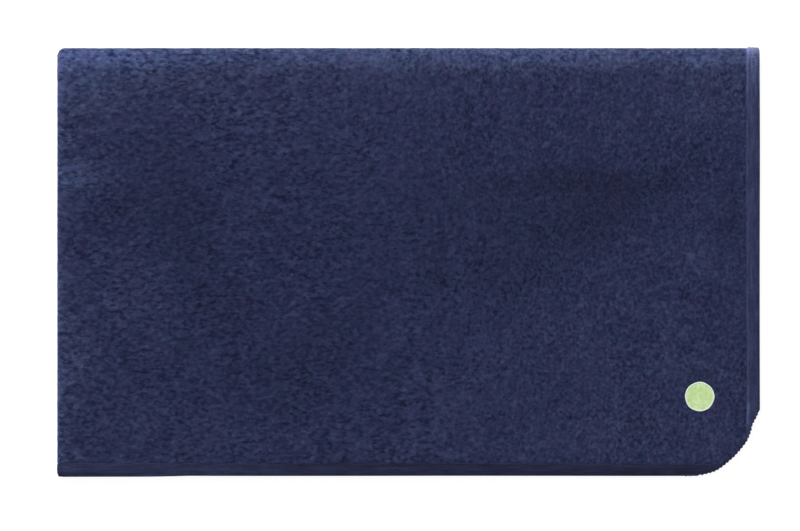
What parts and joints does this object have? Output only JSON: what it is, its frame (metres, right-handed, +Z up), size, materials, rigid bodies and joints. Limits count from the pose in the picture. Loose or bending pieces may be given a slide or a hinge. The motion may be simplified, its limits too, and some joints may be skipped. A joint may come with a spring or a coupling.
{
  "type": "quick dry towel",
  "caption": "Plush quick-dry travel towel folded in quarters and lying flat, with smooth hems, rounded corners and a small round sewn-on label; its folds open.",
  "frame": {"origin": "under the middle of the folded towel, on the surface that it lies on", "axes": "+X along the length towards the side hems, +Y towards the back fold, +Z up out of the top layer"},
  "size_m": [0.75, 0.4564, 0.0152],
  "materials": {
    "plush_cloth": "short dark navy pile, matt, brushed in small dabs",
    "smooth_hem": "flat navy knit with no pile, faint lines along the hem",
    "sewing_thread": "navy polyester thread, slight sheen",
    "label_cloth": "pale green woven label, matt",
    "label_thread": "whitish green stitching, slight sheen"
  },
  "bodies": {
    "bottom_panel": {"bottom_cloth": "plush_cloth", "bottom_side_hem": "smooth_hem", "bottom_end_hem": "smooth_hem", "bottom_corner_edging": "sewing_thread", "bottom_side_thread": "sewing_thread", "bottom_end_thread": "sewing_thread", "left_fold_lower": "plush_cloth", "back_fold_outer_lower": "plush_cloth"},
    "lower_inner_panel": {"lower_inner_cloth": "plush_cloth", "lower_inner_side_hem": "smooth_hem", "lower_inner_end_hem": "smooth_hem", "lower_inner_corner_edging": "sewing_thread", "lower_inner_side_thread": "sewing_thread", "lower_inner_end_thread": "sewing_thread", "back_fold_inner": "plush_cloth"},
    "upper_inner_panel": {"upper_inner_cloth": "plush_cloth", "upper_inner_side_hem": "smooth_hem", "upper_inner_end_hem": "smooth_hem", "upper_inner_corner_edging": "sewing_thread", "upper_inner_side_thread": "sewing_thread", "upper_inner_end_thread": "sewing_thread", "left_fold_upper": "plush_cloth"},
    "top_panel": {"top_cloth": "plush_cloth", "top_side_hem": "smooth_hem", "top_end_hem": "smooth_hem", "top_corner_edging": "sewing_thread", "top_side_thread": "sewing_thread", "top_end_thread": "sewing_thread", "back_fold_outer_upper": "plush_cloth", "label_disc": "label_cloth", "label_thread": "label_thread"}
  },
  "joints": [
    {"name": "left_fold", "type": "hinge", "parent": "bottom_panel", "child": "lower_inner_panel", "pos_m": [-0.3712, 0, 0.00365], "axis": [0, -1, 0], "range_deg": [0, 180], "deforming": ["left_fold_lower"]},
    {"name": "top_fold", "type": "hinge", "parent": "lower_inner_panel", "child": "upper_inner_panel", "pos_m": [0, 0.22065, 0.00745], "axis": [-1, 0, 0], "range_deg": [0, 180], "deforming": ["back_fold_inner", "back_fold_outer_lower", "back_fold_outer_upper"]},
    {"name": "left_fold_upper", "type": "hinge", "parent": "upper_inner_panel", "child": "top_panel", "pos_m": [-0.3712, 0, 0.01125], "axis": [0, -1, 0], "range_deg": [0, 180], "deforming": ["left_fold_upper"]}
  ],
  "couplings": [
    {"joint": "left_fold_upper", "follows": "left_fold", "ratio": 1}
  ]
}
